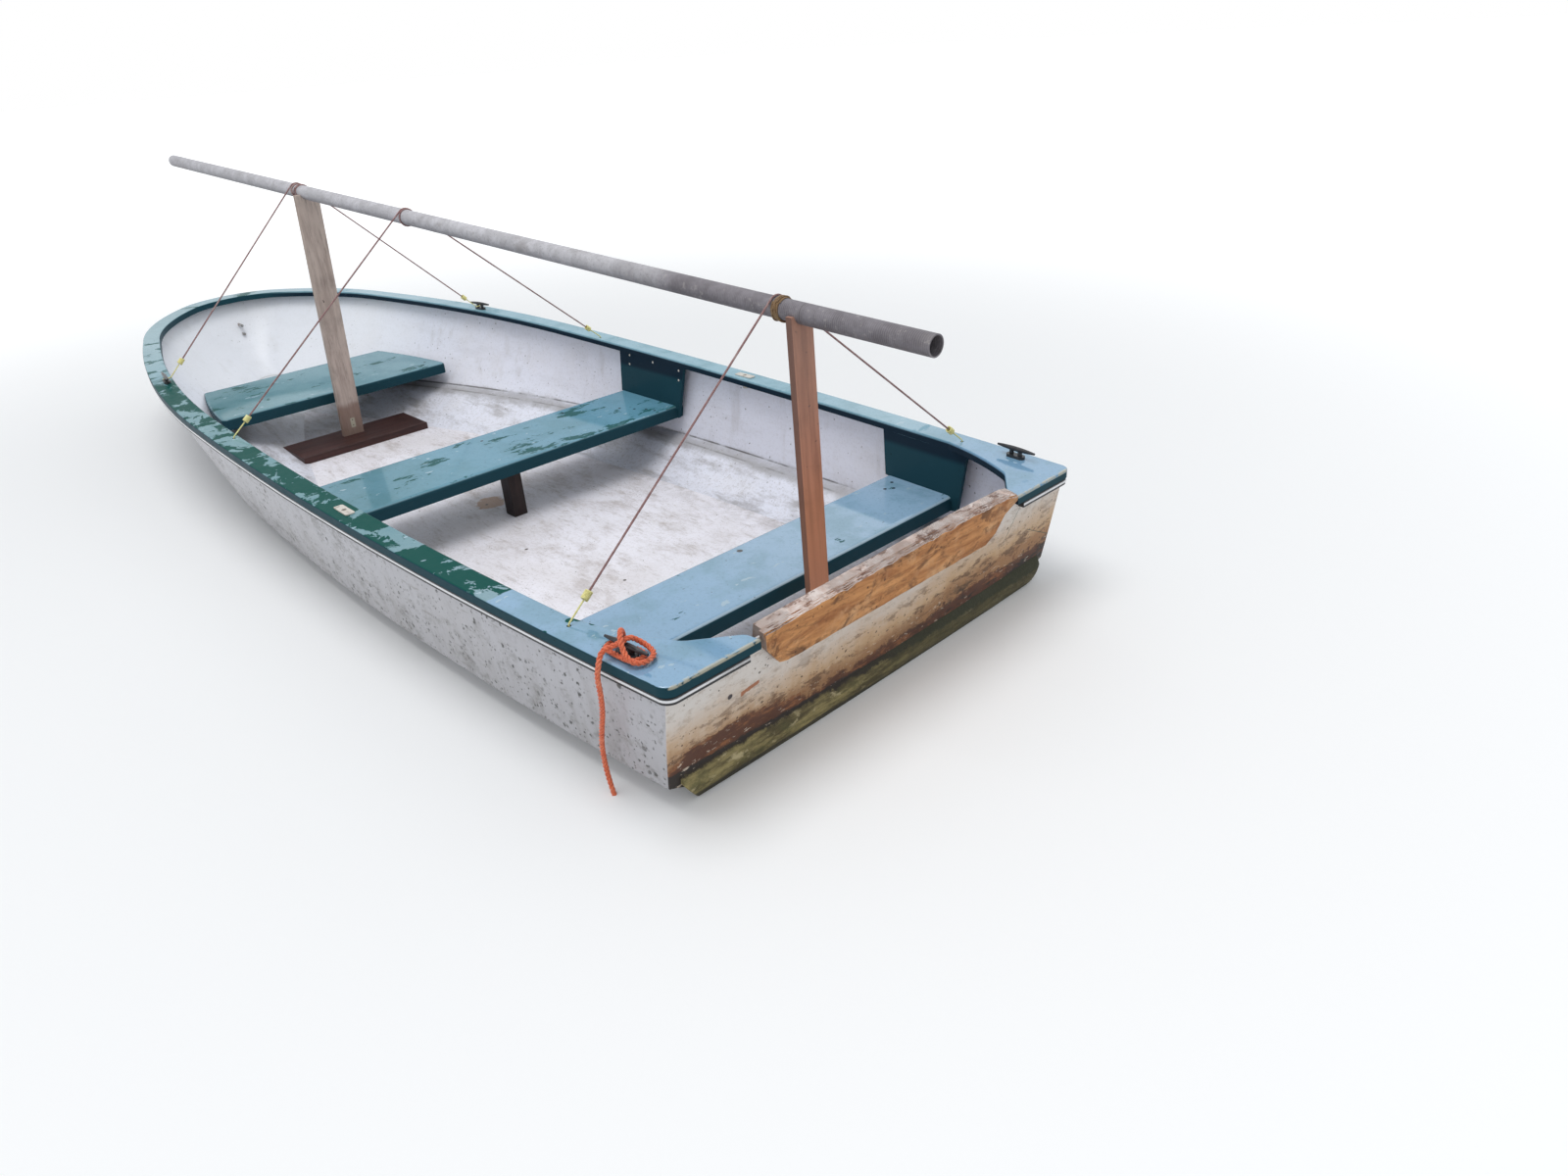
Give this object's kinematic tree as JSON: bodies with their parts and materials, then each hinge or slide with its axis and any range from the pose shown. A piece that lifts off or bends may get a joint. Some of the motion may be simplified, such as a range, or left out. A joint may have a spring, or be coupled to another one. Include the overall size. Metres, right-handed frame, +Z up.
{
  "type": "rowing boat",
  "caption": "Open moulded rowing dinghy afloat, with three seats, a square raked stern, a rounded bow and a ridge pipe lashed on two posts to carry a cover.",
  "frame": {"origin": "on the waterline and the centreline, halfway along the hull", "axes": "+X forward to the bow, +Y to port, +Z up; Z = 0 is the water's surface"},
  "size_m": [4.432, 1.5259, 1.1281],
  "materials": {
    "hull_skin": "white moulded laminate, worn and speckled",
    "floor_skin": "white laminate, dirty",
    "deck_green": "dark green gelcoat, wet",
    "bead": "bright moulding",
    "foot": "laminate under green-brown growth",
    "plywood": "weathered plywood",
    "dark_timber": "dark oiled hardwood",
    "grey_timber": "weathered grey board",
    "brown_timber": "brown softwood",
    "grey_pipe": "weathered grey tube",
    "thin_cord": "reddish grey cord",
    "toggle": "yellow plastic",
    "black_plastic": "black",
    "plate": "dull plated",
    "orange_rope": "three-strand orange rope"
  },
  "bodies": {
    "root": {"hull_shell": "hull_skin", "floor_pan": "floor_skin", "gunwale_cap": "deck_green", "rub_rail": "bead", "transom_pad_outer": "plywood", "transom_pad_inner": "plywood", "transom_foot": "foot", "bow_thwart": "deck_green", "middle_thwart": "deck_green", "stern_thwart": "deck_green", "middle_knees": "deck_green", "stern_knees": "deck_green", "thwart_prop": "dark_timber", "step_plank": "dark_timber", "forward_post": "grey_timber", "aft_post": "brown_timber", "ridge_pipe": "grey_pipe", "forward_lashing": "thin_cord", "aft_lashing": "thin_cord", "forward_cord": "thin_cord", "middle_cord": "thin_cord", "aft_cord": "thin_cord", "cord_toggles": "toggle", "cord_links": "toggle", "bow_cleats": "black_plastic", "quarter_cleats": "black_plastic", "rowlock_sockets": "plate", "bow_eye": "plate", "keel_strip": "hull_skin", "bilge_runners": "hull_skin", "rope_tail": "orange_rope", "rope_hitch": "orange_rope"}
  },
  "joints": []
}
